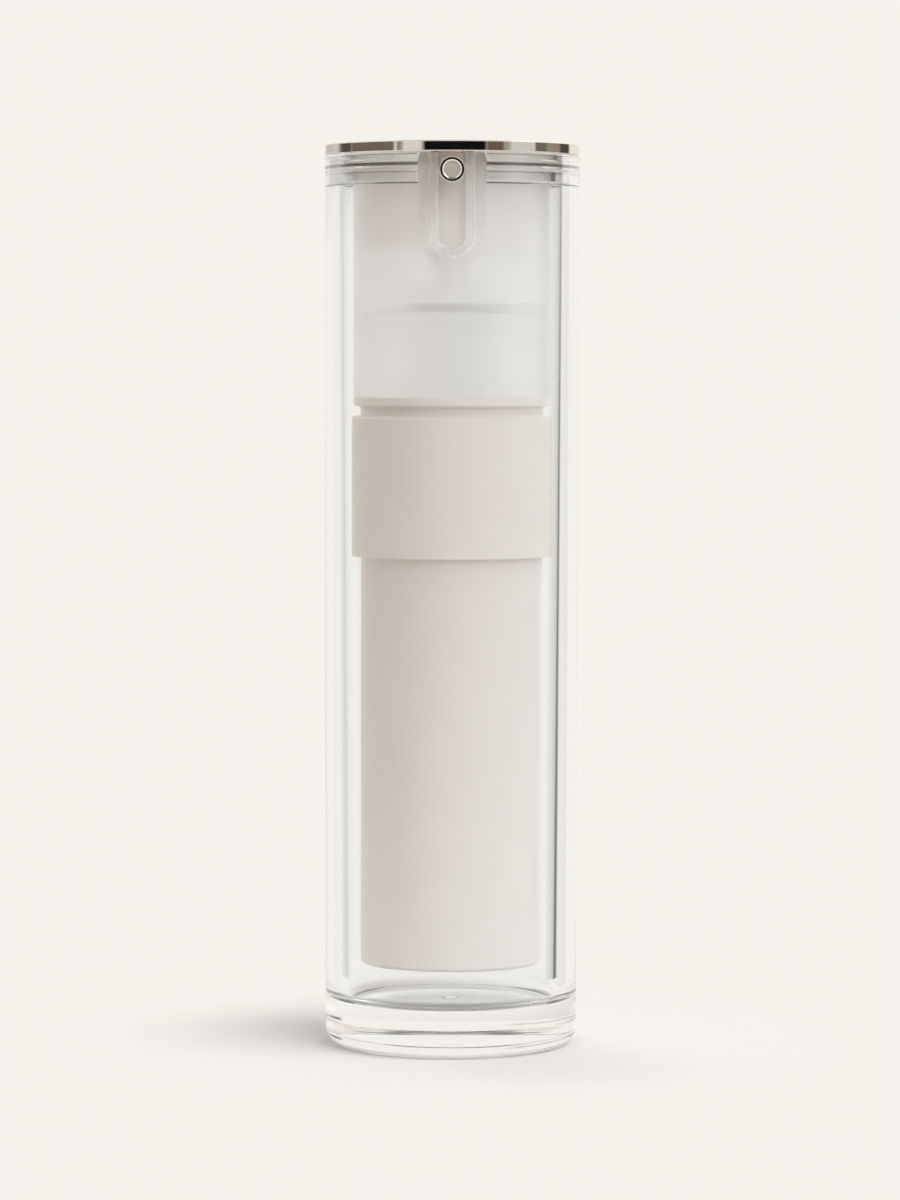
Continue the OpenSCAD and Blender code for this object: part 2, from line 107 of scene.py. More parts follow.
# Walls, steps and rounds that the boxes don't give, in millimetres
base_t = 6.4
foot_r = 17.8
foot_round = 2.2
foot_recess = 0.5
foot_ring_w = 1.6
gate_r = 1.4
gate_h = 0.3
bore_r = 15.4
floor_r = 14.6
floor_round = 1.5
seat_r = 15.55
seat_z = 121.4
seat_slope_h = 0.22
case_soft = 0.26
slot_r = 3.0
pad_r = 4.45
pad_face = 14.34
pad_top_cut = 0.5
pad_slope_h = 1.9
pad_root = 0.9
gap_r = 4.55
gap_flare = 0.25
gap_rise = 0.2
liner_in = 1.85
liner_soft = 0.2
guide_t = 0.6
guide_slot_r = 1.9
shoulder_in = 13.93
land_top = 124.65
land_groove_h = 1.2
land_groove_t = 0.3
ring_soft = 0.16
spigot_t = 0.45
shell_t = 1.0
deck_t = 1.2
column_in = 6.15
column_r = 6.85
stem_hole_r = 2.6
pocket_z = 105.7
dome_r = 9.2
dome_h = 3.4
closure_in = 12.9
groove_r = 12.9
groove_top = 90.3
body_top = 89.0
roof_z = 88.3
bead_z = 76.3
bottle_r = 12.85
bottle_in = 11.85
bottle_floor_t = 1.2
vent_r = 0.75
snap_h = 0.3
snap_half_w = 0.6
snap_foot = 0.4
bead_h = 0.25
bead_half_w = 0.4
bead_foot = 0.3
dish_h = 0.5
dish_edge = 0.35
hole_play = 0.2
lip_r = 1.14
lip_bevel = 0.2
tip_crown = 0.05
slit_half_w = 0.62
slit_half_h = 0.015
wire = 0.7
spring_turns = 8
closed_pitch = 0.9 * wire     # the end turns are pressed flat
glue = 0.03
near = 0.02                   # how far off a place may lie and still count as on it
apart = 0.02                  # keeps two faces from sharing a plane
past = 1.0                    # how far a cutter reaches past what it cuts
top_margin = 0.5              # edges this close to the top stay sharp


# Outlines

def rounded(corners, steps=ARC_STEPS):
    """Turns corners (across, up) or (across, up, radius) into points, each with the normals before and
    after it. The outline runs anticlockwise round its material, so that its normals point out of it."""
    points = []
    count = len(corners)
    for i, (across, up, *fillet) in enumerate(corners):
        here = np.array([across, up], float)
        before = np.array(corners[i - 1][:2], float)
        after = np.array(corners[(i + 1) % count][:2], float)
        into = (here - before) / np.linalg.norm(here - before)
        out = (after - here) / np.linalg.norm(after - here)
        normal_in = np.array([into[1], -into[0]])
        normal_out = np.array([out[1], -out[0]])
        if not fillet:
            points.append((here, normal_in, normal_out))
            continue
        turn = math.atan2(into[0] * out[1] - into[1] * out[0], float(into @ out))
        reach = fillet[0] * math.tan(abs(turn) / 2)
        side = math.copysign(1.0, turn)
        centre = here - into * reach - normal_in * fillet[0] * side
        for k in range(steps + 1):
            a = turn * k / steps
            normal = np.array([normal_in[0] * math.cos(a) - normal_in[1] * math.sin(a),
                               normal_in[0] * math.sin(a) + normal_in[1] * math.cos(a)])
            points.append((centre + normal * fillet[0] * side, normal, normal))
    return points


def arc(centre, radius, start, end, steps):
    """Corners along an arc, between two angles in degrees."""
    turns = [math.radians(start + (end - start) * k / steps) for k in range(steps + 1)]
    return [(centre[0] + radius * math.cos(a), centre[1] + radius * math.sin(a)) for a in turns]


def slot_outline(radius, bottom, top, steps=40):
    """An upright slot with a half-round foot, anticlockwise."""
    return arc((0, bottom), radius, 180, 360, steps) + [(radius, top), (-radius, top)]


def pad_outline(radius, top, flare=0.0, steps=40):
    """The border beside the slot, which narrows towards its top."""
    slope_z = top - pad_slope_h
    right = [(radius, slope_z - flare), (radius + flare, slope_z), (radius - pad_top_cut, top)]
    left = [(-across, up) for across, up in reversed(right)]
    return arc((0, slot_end_z), radius, 180, 360, steps) + right + left


# Meshes

def add_piece(name, mesh):
    """Makes an object of a finished bmesh."""
    bmesh.ops.remove_doubles(mesh, verts=mesh.verts, dist=1e-7)
    bmesh.ops.recalc_face_normals(mesh, faces=mesh.faces)
    data = bpy.data.meshes.new(name)
    mesh.to_mesh(data)
    mesh.free()
    piece = bpy.data.objects.new(name, data)
    bpy.context.scene.collection.objects.link(piece)
    return piece


def turned(name, corners, sides=SIDES, shade=True):
    """A piece turned round Z from a closed outline of its section."""
    outline = rounded(corners)
    mesh = bmesh.new()
    rings = []
    for point, _, _ in outline:
        if point[0] < 1e-6:
            rings.append([mesh.verts.new((0, 0, point[1] * MM))])
            continue
        rings.append([])
        for k in range(sides):
            a = math.tau * k / sides
            rings[-1].append(mesh.verts.new((point[0] * MM * math.cos(a), point[0] * MM * math.sin(a),
                                             point[1] * MM)))
    for i, ring in enumerate(rings):
        following = rings[(i + 1) % len(rings)]
        if len(ring) == len(following) == 1:
            continue
        for k in range(sides):
            j = (k + 1) % sides
            if len(ring) == 1:
                mesh.faces.new((ring[0], following[j], following[k]))
            elif len(following) == 1:
                mesh.faces.new((ring[k], ring[j], following[0]))
            else:
                mesh.faces.new((ring[k], ring[j], following[j], following[k]))
    piece = add_piece(name, mesh)
    if shade:
        true_normals(piece, [turned_surface(outline)])
    return piece


def prism(name, outline, near, far):
    """An outline in X and Z, pushed along -Y between two distances from the axis."""
    mesh = bmesh.new()
    back = [mesh.verts.new((across * MM, -near * MM, up * MM)) for across, up in outline]
    front = [mesh.verts.new((across * MM, -far * MM, up * MM)) for across, up in outline]
    mesh.faces.new(back)
    mesh.faces.new(list(reversed(front)))
    for k in range(len(outline)):
        j = (k + 1) % len(outline)
        mesh.faces.new((back[j], back[k], front[k], front[j]))
    return add_piece(name, mesh)


def combine(piece, other, operation):
    """Joins another piece to this one, cuts it away or keeps what they share, and deletes the other."""
    boolean = piece.modifiers.new(operation, "BOOLEAN")
    boolean.object = other
    boolean.operation = operation
    boolean.solver = "EXACT"
    graph = bpy.context.evaluated_depsgraph_get()
    data = bpy.data.meshes.new_from_object(piece.evaluated_get(graph))
    piece.modifiers.clear()
    piece.data = data
    bpy.data.objects.remove(other)


def cut_front_gap(piece):
    """Opens a ring at the front, beside the slot's border."""
    gap = prism("gap", pad_outline(gap_r, trim_z + gap_rise, gap_flare), 0, case_r)
    combine(piece, gap, "DIFFERENCE")


def turned_surface(outline):
    """The surface that an outline turns round Z: for points, how far off it they lie and its normal there."""
    starts = np.array([point for point, _, _ in outline])
    ends = np.roll(starts, -1, axis=0)
    start_normals = np.array([after for _, _, after in outline])
    end_normals = np.roll(np.array([before for _, before, _ in outline]), -1, axis=0)
    spans = ends - starts
    lengths = np.maximum((spans ** 2).sum(1), 1e-12)

    def look(centres, corners, owners):
        radius = np.hypot(centres[:, 0], centres[:, 1])
        flat = np.stack([radius, centres[:, 2]], 1)
        t = np.clip(((flat[:, None] - starts) * spans).sum(2) / lengths, 0, 1)
        away = np.linalg.norm(flat[:, None] - (starts + t[..., None] * spans), axis=2)
        nearest = away.argmin(1)
        own = nearest[owners]
        corner_r = np.hypot(corners[:, 0], corners[:, 1])
        corner_flat = np.stack([corner_r, corners[:, 2]], 1)
        u = np.clip(((corner_flat - starts[own]) * spans[own]).sum(1) / lengths[own], 0, 1)[:, None]
        section = start_normals[own] * (1 - u) + end_normals[own] * u
        around = corners[:, :2] / np.maximum(corner_r, 1e-9)[:, None]
        normals = np.column_stack([around * section[:, :1], section[:, 1]])
        return away[np.arange(len(centres)), nearest], normals

    return look


def slot_surface(radius, height):
    """The half-round foot of a slot: a cylinder along Y, seen from inside."""
    def look(centres, corners, owners):
        away = np.abs(np.hypot(centres[:, 0], centres[:, 2] - height) - radius)
        away[centres[:, 2] > height] = 1e9
        normals = np.column_stack([-corners[:, 0], np.zeros(len(corners)), height - corners[:, 2]])
        return away, normals / np.maximum(np.linalg.norm(normals, axis=1), 1e-9)[:, None]

    return look


def true_normals(piece, surfaces, reach=0.02, agree=0.8):
    """Gives each corner of a face the normal of the curved surface that the face lies on, so that glass and
    metal shade as if they were truly round. A face that lies on none of them stays flat."""
    data = piece.data
    data.update()
    faces = len(data.polygons)
    loops = len(data.loops)
    centres = np.zeros(faces * 3, np.float32)
    flat = np.zeros(faces * 3, np.float32)
    totals = np.zeros(faces, np.int32)
    data.polygons.foreach_get("center", centres)
    data.polygons.foreach_get("normal", flat)
    data.polygons.foreach_get("loop_total", totals)
    centres = centres.reshape(-1, 3).astype(float) / MM
    flat = flat.reshape(-1, 3).astype(float)
    owners = np.repeat(np.arange(faces), totals)
    points = np.zeros(len(data.vertices) * 3, np.float32)
    data.vertices.foreach_get("co", points)
    index = np.zeros(loops, np.int32)
    data.loops.foreach_get("vertex_index", index)
    corners = points.reshape(-1, 3).astype(float)[index] / MM
    normals = flat[owners].copy()
    best = np.full(faces, reach)
    for surface in surfaces:
        away, found = surface(centres, corners, owners)
        mean = np.zeros((faces, 3))
        np.add.at(mean, owners, found)
        mean /= np.maximum(np.linalg.norm(mean, axis=1), 1e-9)[:, None]
        agreement = (mean * flat).sum(1)
        found[agreement[owners] < 0] *= -1
        lies = (away < best) & (np.abs(agreement) > agree)
        best[lies] = away[lies]
        normals[lies[owners]] = found[lies[owners]]
    data.shade_smooth()
    data.normals_split_custom_set(normals.tolist())


def on_slot_line(p, radius):
    """Whether a point lies on the outline of an upright slot, seen from the front."""
    from_middle = abs(p.x) if p.z > slot_end_z else math.hypot(p.x, p.z - slot_end_z)
    return abs(from_middle - radius) < near


def soften_edges(piece, width, *tests):
    """Bevels the sharp edges whose middles pass one of the tests."""
    mesh = bmesh.new()
    mesh.from_mesh(piece.data)
    chosen = []
    for edge in mesh.edges:
        if len(edge.link_faces) != 2 or edge.calc_face_angle(0.0) < math.radians(40):
            continue
        middle = (edge.verts[0].co + edge.verts[1].co) / 2 / MM
        if any(test(middle) for test in tests):
            chosen.append(edge)
    bmesh.ops.bevel(mesh, geom=chosen, offset=width * MM, segments=2, profile=0.5, affect="EDGES",
                    clamp_overlap=True)
    mesh.to_mesh(piece.data)
    mesh.free()


# Materials

def new_material(name):
    material = bpy.data.materials.new(name)
    material.use_nodes = True
    material.node_tree.nodes.clear()
    return material


def add_node(tree, kind, inputs=None, **settings):
    """Adds a node. Inputs are values, or the outputs of other nodes."""
    node = tree.nodes.new(kind)
    for key, value in settings.items():
        setattr(node, key, value)
    for key, value in (inputs or {}).items():
        if isinstance(value, bpy.types.NodeSocket):
            tree.links.new(value, node.inputs[key])
        else:
            node.inputs[key].default_value = value
    return node


def object_noise(tree, scale, stretch=(1, 1, 1), detail=3.0):
    """Noise that sticks to the piece, in blotches of about 1 / scale metres."""
    place = add_node(tree, "ShaderNodeTexCoord")
    mapping = add_node(tree, "ShaderNodeMapping", {"Vector": place.outputs["Object"], "Scale": stretch})
    return add_node(tree, "ShaderNodeTexNoise",
                    {"Vector": mapping.outputs["Vector"], "Scale": scale, "Detail": detail}).outputs["Fac"]


def maths(tree, operation, first, second=0.0):
    """One step of arithmetic. Values are plain or the outputs of other nodes."""
    return add_node(tree, "ShaderNodeMath", {0: first, 1: second}, operation=operation).outputs[0]


def remap(tree, value, start, end, at_start=0.0, at_end=1.0, kind="LINEAR"):
    """Maps a range of a value onto another one, and holds it beyond the ends."""
    return add_node(tree, "ShaderNodeMapRange", {
        "Value": value, "From Min": start, "From Max": end, "To Min": at_start, "To Max": at_end},
        interpolation_type=kind).outputs["Result"]


def spread(tree, value, lowest, highest):
    """Maps noise onto a range of plain numbers."""
    return remap(tree, value, 0.3, 0.7, lowest, highest)


def object_place(tree):
    """The place on the piece, as X, Y and Z in metres."""
    place = add_node(tree, "ShaderNodeTexCoord").outputs["Object"]
    return add_node(tree, "ShaderNodeSeparateXYZ", {0: place}).outputs


def blend_colour(tree, amount, base, over):
    """Mixes a colour over another. Colours are plain or the outputs of other nodes."""
    mix = add_node(tree, "ShaderNodeMix", data_type="RGBA")
    factor = [s for s in mix.inputs if s.name == "Factor" and s.type == "VALUE"][0]
    first = [s for s in mix.inputs if s.name == "A" and s.type == "RGBA"][0]
    second = [s for s in mix.inputs if s.name == "B" and s.type == "RGBA"][0]
    for socket, value in ((factor, amount), (first, base), (second, over)):
        if isinstance(value, bpy.types.NodeSocket):
            tree.links.new(value, socket)
        elif isinstance(value, tuple):
            socket.default_value = (*value, 1)
        else:
            socket.default_value = value
    return [s for s in mix.outputs if s.type == "RGBA"][0]


def tints(tree, value, dark, light):
    """Mixes two colours by noise."""
    return blend_colour(tree, spread(tree, value, 0.0, 1.0), dark, light)


def bump(tree, value, depth, strength=1.0):
    """Bump from noise, its depth in millimetres."""
    return add_node(tree, "ShaderNodeBump",
                    {"Height": value, "Distance": depth * MM, "Strength": strength}).outputs["Normal"]


def finish_material(material, surface):
    output = add_node(material.node_tree, "ShaderNodeOutputMaterial")
    material.node_tree.links.new(surface, output.inputs["Surface"])
    return material


def let_lamps_through(tree, surface, colour, way_out=(1.0, 1.0, 1.0)):
    """Lamps reach what is behind clear plastic, and light that has been caught inside its walls for many
    bounces gets out."""
    most_bounces = 9.0
    path = add_node(tree, "ShaderNodeLightPath").outputs
    caught = maths(tree, "GREATER_THAN", path["Ray Depth"], most_bounces)
    tint = blend_colour(tree, caught, colour, way_out)
    clear = add_node(tree, "ShaderNodeBsdfTransparent", {"Color": tint})
    either = maths(tree, "MAXIMUM", path["Is Shadow Ray"], caught)
    return add_node(tree, "ShaderNodeMixShader", {"Fac": either, 1: surface, 2: clear.outputs[0]}).outputs[0]


ACRYLIC = (0.975, 0.98, 0.98)
ACRYLIC_SHADE = (0.955, 0.96, 0.96)     # what clear plastic leaves of a lamp's light


def moulding_flow(tree):
    """The faint waves that moulding leaves in clear plastic."""
    return bump(tree, object_noise(tree, 90.0, stretch=(1, 1, 0.25)), 0.01, 0.25)


def clear_acrylic():
    """Polished clear plastic. Light caught in the foot, and in the sides of the lower walls, gets out there
    with a dark tint, which is painted shade for the dark lines they show. Light caught in front, behind or
    higher up gets out."""
    material = new_material("clear_acrylic")
    tree = material.node_tree
    # A dark tint for light caught in the foot and the lower side walls: painted shade for their dark lines.
    painted_line_shade = (0.15, 0.16, 0.18)
    place = object_place(tree)
    aside = maths(tree, "ABSOLUTE", place["X"])
    middle = remap(tree, aside, 8 * MM, 14 * MM, 1.0, 0.0)
    above_foot = remap(tree, place["Z"], 8 * MM, 14 * MM)
    high_up = remap(tree, place["Z"], 60 * MM, 80 * MM)
    let_out = maths(tree, "MAXIMUM", maths(tree, "MULTIPLY", middle, above_foot), high_up)
    way_out = blend_colour(tree, let_out, painted_line_shade, (1.0, 1.0, 1.0))
    shader = add_node(tree, "ShaderNodeBsdfPrincipled", {
        "Base Color": (*ACRYLIC, 1), "Roughness": 0.0, "IOR": 1.49, "Transmission Weight": 1.0,
        "Normal": moulding_flow(tree)})
    return finish_material(material, let_lamps_through(tree, shader.outputs[0], ACRYLIC_SHADE, way_out))


# Painted lines on the case's seat for the edges of the clear ring against it: the dark ones are painted
# shade, the pale ones painted highlights. For each: from and to above it in mm, the colour, and how clear the
# plastic stays there.
PAINTED_SHADE_LINE = (0.16, 0.155, 0.16)
PAINTED_HIGHLIGHT_LINE = (0.95, 0.95, 0.95)
PAINTED_SEAT_LINES = [
    (-0.2, 0.0, PAINTED_SHADE_LINE, 0.32),
    (0.06, 0.22, PAINTED_HIGHLIGHT_LINE, 0.6),
    (1.38, 1.48, PAINTED_SHADE_LINE, 0.75),
    (1.6, 2.0, PAINTED_HIGHLIGHT_LINE, 0.55),
    (2.3, 2.72, PAINTED_SHADE_LINE, 0.45),
    (3.1, 3.22, PAINTED_HIGHLIGHT_LINE, 0.7),
    (3.8, 3.9, PAINTED_SHADE_LINE, 0.7),
]


def painted_lines_acrylic():
    """Clear plastic of the seat, with drawn lines that stand for the edges of the clear ring against it: the
    dark lines are painted shade and the pale lines painted highlights.
    """
    material = new_material("painted_lines_acrylic")
    tree = material.node_tree
    bottom = seat_z - seat_slope_h
    share = remap(tree, object_place(tree)["Z"], bottom * MM, trim_z * MM)
    node = add_node(tree, "ShaderNodeValToRGB", {"Fac": share})
    ramp = node.color_ramp
    ramp.interpolation = "CONSTANT"
    clear = (*ACRYLIC, 1.0)
    ramp.elements.remove(ramp.elements[1])
    ramp.elements[0].color = clear
    for start, end, colour, clearness in PAINTED_SEAT_LINES:
        for rise, value in ((start, (*colour, clearness)), (end, clear)):
            ramp.elements.new((seat_z + rise - bottom) / (trim_z - bottom)).color = value
    shader = add_node(tree, "ShaderNodeBsdfPrincipled", {
        "Base Color": node.outputs["Color"], "Roughness": 0.0, "IOR": 1.49,
        "Transmission Weight": node.outputs["Alpha"], "Normal": moulding_flow(tree)})
    return finish_material(material, let_lamps_through(tree, shader.outputs[0], ACRYLIC_SHADE))


def frosted_plastic():
    """Milky moulded plastic that blurs what is behind it."""
    material = new_material("frosted_plastic")
    tree = material.node_tree
    cloud = object_noise(tree, 220.0)
    grain = object_noise(tree, 1800.0, detail=1.0)
    shader = add_node(tree, "ShaderNodeBsdfPrincipled", {
        "Base Color": tints(tree, cloud, (0.888, 0.894, 0.902), (0.903, 0.909, 0.917)),
        "Roughness": spread(tree, cloud, 0.28, 0.34), "IOR": 1.4, "Transmission Weight": 0.7,
        "Normal": bump(tree, grain, 0.002, 0.2)})
    return finish_material(material, let_lamps_through(tree, shader.outputs[0], (0.93, 0.925, 0.92)))


def milky_plastic():
    """The duller plastic of the button's body, seen through the frosted tube."""
    material = new_material("milky_plastic")
    tree = material.node_tree
    cloud = object_noise(tree, 220.0)
    grain = object_noise(tree, 9000.0, detail=2.0)
    shader = add_node(tree, "ShaderNodeBsdfPrincipled", {
        "Base Color": tints(tree, cloud, (0.87, 0.86, 0.84), (0.90, 0.89, 0.87)),
        "Roughness": spread(tree, cloud, 0.36, 0.44), "IOR": 1.45, "Transmission Weight": 0.3,
        "Normal": bump(tree, grain, 0.004, 0.4)})
    return finish_material(material, let_lamps_through(tree, shader.outputs[0], (0.8, 0.79, 0.78)))


def white_plastic():
    """White satin plastic, a little warm, with the fine grain of its mould."""
    material = new_material("white_plastic")
    tree = material.node_tree
    cloud = object_noise(tree, 140.0)
    grain = object_noise(tree, 6000.0, detail=2.0)
    shader = add_node(tree, "ShaderNodeBsdfPrincipled", {
        "Base Color": tints(tree, cloud, (0.872, 0.863, 0.85), (0.892, 0.885, 0.874)),
        "Roughness": spread(tree, cloud, 0.3, 0.38), "Specular IOR Level": 0.4,
        "Subsurface Weight": 0.12, "Subsurface Radius": (0.0008, 0.0007, 0.0005),
        "Subsurface Scale": 1.0, "Normal": bump(tree, grain, 0.003, 0.35)})
    return finish_material(material, shader.outputs[0])


def polished_metal():
    """Mirror-polished trim with the faintest haze and polishing lines."""
    material = new_material("polished_metal")
    tree = material.node_tree
    haze = object_noise(tree, 500.0)
    lines = object_noise(tree, 1500.0, stretch=(1, 1, 12))
    shader = add_node(tree, "ShaderNodeBsdfPrincipled", {
        "Base Color": tints(tree, haze, (0.845, 0.79, 0.725), (0.88, 0.825, 0.76)),
        "Metallic": 1.0, "Roughness": spread(tree, haze, 0.02, 0.04),
        "Normal": bump(tree, lines, 0.001, 0.1)})
    return finish_material(material, shader.outputs[0])


def satin_metal():
    """The unpolished inside of the trim."""
    material = new_material("satin_metal")
    tree = material.node_tree
    haze = object_noise(tree, 700.0)
    shader = add_node(tree, "ShaderNodeBsdfPrincipled", {
        "Base Color": tints(tree, haze, (0.78, 0.77, 0.75), (0.84, 0.83, 0.81)),
        "Metallic": 1.0, "Roughness": spread(tree, haze, 0.4, 0.5),
        "Normal": bump(tree, haze, 0.003, 0.3)})
    return finish_material(material, shader.outputs[0])


def plain_plastic(name, dark, light, roughness, transmission=0.0, grain_depth=0.003):
    """Uncoated plastic or rubber of the parts inside."""
    material = new_material(name)
    tree = material.node_tree
    cloud = object_noise(tree, 300.0)
    grain = object_noise(tree, 7000.0, detail=2.0)
    shader = add_node(tree, "ShaderNodeBsdfPrincipled", {
        "Base Color": tints(tree, cloud, dark, light),
        "Roughness": spread(tree, cloud, roughness - 0.05, roughness + 0.05), "IOR": 1.5,
        "Transmission Weight": transmission, "Normal": bump(tree, grain, grain_depth, 0.4)})
    return finish_material(material, shader.outputs[0])


def steel():
    """Drawn stainless wire and the ground ball."""
    material = new_material("steel")
    tree = material.node_tree
    scratches = object_noise(tree, 2500.0, stretch=(1, 1, 6))
    shader = add_node(tree, "ShaderNodeBsdfPrincipled", {
        "Base Color": tints(tree, scratches, (0.56, 0.57, 0.58), (0.66, 0.67, 0.68)),
        "Metallic": 1.0, "Roughness": spread(tree, scratches, 0.18, 0.3),
        "Normal": bump(tree, scratches, 0.002, 0.3)})
    return finish_material(material, shader.outputs[0])


materials = {
    "clear_acrylic": clear_acrylic(),
    "painted_lines_acrylic": painted_lines_acrylic(),
    "frosted_plastic": frosted_plastic(),
    "white_plastic": white_plastic(),
    "polished_metal": polished_metal(),
    "valve_rubber": plain_plastic("valve_rubber", (0.44, 0.405, 0.375), (0.49, 0.455, 0.425), 0.55),
    "soft_seal": plain_plastic("soft_seal", (0.26, 0.265, 0.28), (0.32, 0.325, 0.34), 0.6),
    "natural_plastic": plain_plastic("natural_plastic", (0.93, 0.92, 0.905), (0.95, 0.94, 0.925), 0.35,
                                     transmission=0.3),
    "seal_plastic": plain_plastic("seal_plastic", (0.80, 0.82, 0.84), (0.84, 0.86, 0.88), 0.32,
                                  transmission=0.15),
    "steel": steel(),
}


def dress(piece, slot, body, *nodes, material=None):
    """Finishes a piece that stands for some CAD nodes."""
    piece.data.materials.clear()
    piece.data.materials.append(material or materials[slot])
    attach(piece, body)
    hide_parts(*nodes)


# Pieces

def make_case():
    """The thick clear case, with its slot, the border beside it, a seat, and a recessed foot."""
    foot_in = foot_r - foot_round - foot_ring_w
    corners = [
        (0, foot_recess + gate_h / 2), (gate_r, foot_recess, 2.0),
        (foot_in - foot_recess, foot_recess, 0.3), (foot_in, 0, 0.25),
        (foot_r, 0, foot_round), (case_r, case_top, 0.2), (seat_r, case_top, 0.2),
        (seat_r, seat_z), (bore_r, seat_z - seat_slope_h), (floor_r, base_t, floor_round),
        (gate_r, base_t, 0.4), (gate_r * 0.55, base_t - gate_h * 0.85, 1.0), (0, base_t - gate_h)]
    outline = rounded(corners)
    case = turned("case_shell", corners, shade=False)
    pad = prism("pad", pad_outline(pad_r, case_top - apart), pad_face, bore_r + pad_root)
    combine(case, pad, "UNION")
    slot = prism("slot", slot_outline(slot_r, slot_end_z, case_top + past), pad_face - past, case_r + past)
    combine(case, slot, "DIFFERENCE")

    def on_slot(p):
        return p.y < 0 and on_slot_line(p, slot_r) and p.z < case_top - top_margin

    def on_pad(p):
        return abs(p.y + pad_face) < near and on_slot_line(p, pad_r) and p.z < case_top - pad_slope_h

    soften_edges(case, case_soft, on_slot, on_pad)
    true_normals(case, [turned_surface(outline), slot_surface(slot_r, slot_end_z),
                        slot_surface(pad_r, slot_end_z)])
    dress(case, "clear_acrylic", "case", "outer_case")
    # The seat's faces take the clear plastic with the painted shade and painted highlight lines.
    case.data.materials.append(materials["painted_lines_acrylic"])
    for face in case.data.polygons:
        x, y, z = face.center / MM
        at_seat = bore_r - near < math.hypot(x, y) < seat_r + near and z > seat_z - seat_slope_h
        beside_gap = abs(x) > gap_r or y > 0
        if at_seat and beside_gap and abs(face.normal.z) < 0.9:
            face.material_index = 1


def make_trim_ring():
    """The polished ring on the rim. Its spigot is cut away at the front, beside the slot's border."""
    hole_r = cap_r + hole_play
    ring = turned("trim_ring_top", [
        (hole_r, trim_z), (case_r, trim_z, 0.12), (case_r, trim_top, 0.16), (hole_r, trim_top, 0.25)])
    dress(ring, "polished_metal", "refill", "trim_ring")
    corners = [(shoulder_in, trim_z - spigot_h), (shoulder_in + spigot_t, trim_z - spigot_h),
               (shoulder_in + spigot_t, trim_z - glue), (shoulder_in, trim_z - glue)]
    spigot = turned("trim_ring_spigot", corners, shade=False)
    cut_front_gap(spigot)
    true_normals(spigot, [turned_surface(rounded(corners))])
    dress(spigot, "polished_metal", "refill", "trim_ring", material=satin_metal())


def make_shoulder_ring():
    """The clear ring in the seat, open at the front."""
    recess_r = shoulder_in + spigot_t + glue
    recess_z = trim_z - spigot_h - glue
    groove_in = shoulder_r - land_groove_t
    corners = [
        (shoulder_in, shoulder_z), (shoulder_r, shoulder_z, 0.25),
        (shoulder_r, land_top - land_groove_h, 0.1), (groove_in, land_top - land_groove_h * 0.65, 0.3),
        (groove_in, land_top - land_groove_h * 0.35, 0.3), (shoulder_r, land_top, 0.1),
        (shoulder_r, trim_z, 0.25),
        (recess_r, trim_z), (recess_r, recess_z), (shoulder_in, recess_z)]
    ring = turned("shoulder_ring_clear", corners, shade=False)
    cut_front_gap(ring)

    def on_end(p):
        return p.y < 0 and abs(abs(p.x) - gap_r) < near and p.z < trim_z - pad_slope_h

    soften_edges(ring, ring_soft, on_end)
    true_normals(ring, [turned_surface(rounded(corners))])
    dress(ring, "clear_acrylic", "refill", "shoulder_ring")


def make_liner():
    """The clear U-shaped frame in the slot. Its front and back follow the case and the guide tube."""
    back_r = guide_r + glue
    outer = slot_outline(liner_r, slot_end_z, trim_z)
    inner = slot_outline(liner_in, slot_end_z, trim_z)
    steps = 5            # facets across the frame, which follow the curve of its neighbours
    mesh = bmesh.new()
    stations = []
    for (x_out, z_out), (x_in, z_in) in zip(outer, inner):
        ring = []
        for face_r, order in ((liner_front, range(steps + 1)), (back_r, range(steps, -1, -1))):
            for k in order:
                share = k / steps
                x = x_out + (x_in - x_out) * share
                z = z_out + (z_in - z_out) * share
                depth = math.sqrt(face_r ** 2 - x ** 2)
                ring.append(mesh.verts.new((x * MM, -depth * MM, z * MM)))
        stations.append(ring)
    stations = [stations[-1]] + stations[:-1]     # down the left leg, round the foot, up the right leg
    for one, two in zip(stations, stations[1:]):
        for k in range(len(one)):
            j = (k + 1) % len(one)
            mesh.faces.new((one[k], one[j], two[j], two[k]))
    mesh.faces.new(stations[0])
    mesh.faces.new(list(reversed(stations[-1])))
    liner = add_piece("slot_liner_clear", mesh)

    def on_front_edge(p):
        at_side = on_slot_line(p, liner_r) or on_slot_line(p, liner_in)
        return at_side and abs(math.hypot(p.x, p.y) - liner_front) < near and p.z < trim_z - top_margin

    soften_edges(liner, liner_soft, on_front_edge)
    section = [(back_r, slot_end_z - liner_r), (liner_front, slot_end_z - liner_r), (liner_front, trim_z),
               (back_r, trim_z)]
    true_normals(liner, [turned_surface(rounded(section)), slot_surface(liner_r, slot_end_z),
                         slot_surface(liner_in, slot_end_z)])
    dress(liner, "clear_acrylic", "refill", "slot_liner")


def make_guide_tube():
    """The frosted tube that guides the button, slotted for the nozzle."""
    corners = [(guide_r - guide_t, deck_z), (guide_r, deck_z), (guide_r, trim_z), (guide_r - guide_t, trim_z)]
    tube = turned("guide_tube_frosted", corners, shade=False)
    slot_near = guide_r - guide_t - past
    slot = prism("slot", slot_outline(guide_slot_r, slot_end_z, trim_z + past), slot_near, guide_r + past)
    combine(tube, slot, "DIFFERENCE")
    true_normals(tube, [turned_surface(rounded(corners)), slot_surface(guide_slot_r, slot_end_z)])
    dress(tube, "frosted_plastic", "refill", "guide_tube")


def make_pump_shell():
    """The frosted shell over the pump, with its dome and the column round the spring."""
    ball = (dome_r ** 2 + dome_h ** 2) / (2 * dome_h)
    reach = math.degrees(math.asin(dome_r / ball))
    hole = math.degrees(math.asin(stem_hole_r / ball))
    dome = arc((0, deck_z + dome_h - ball), ball, 90 - reach, 90 - hole, 16)
    under = deck_z - deck_t
    shell = turned("pump_shell_frosted", [
        (guide_r - shell_t, flange_top), (guide_r, flange_top), (guide_r, deck_z, 0.12)] + dome + [
        (stem_hole_r, pocket_z), (column_in, pocket_z, 0.3), (column_in, roof_z + 0.2),
        (column_r, roof_z + 0.2), (column_r, under, 0.3), (guide_r - shell_t, under, 0.4)])
    dress(shell, "frosted_plastic", "refill", "pump_shell")


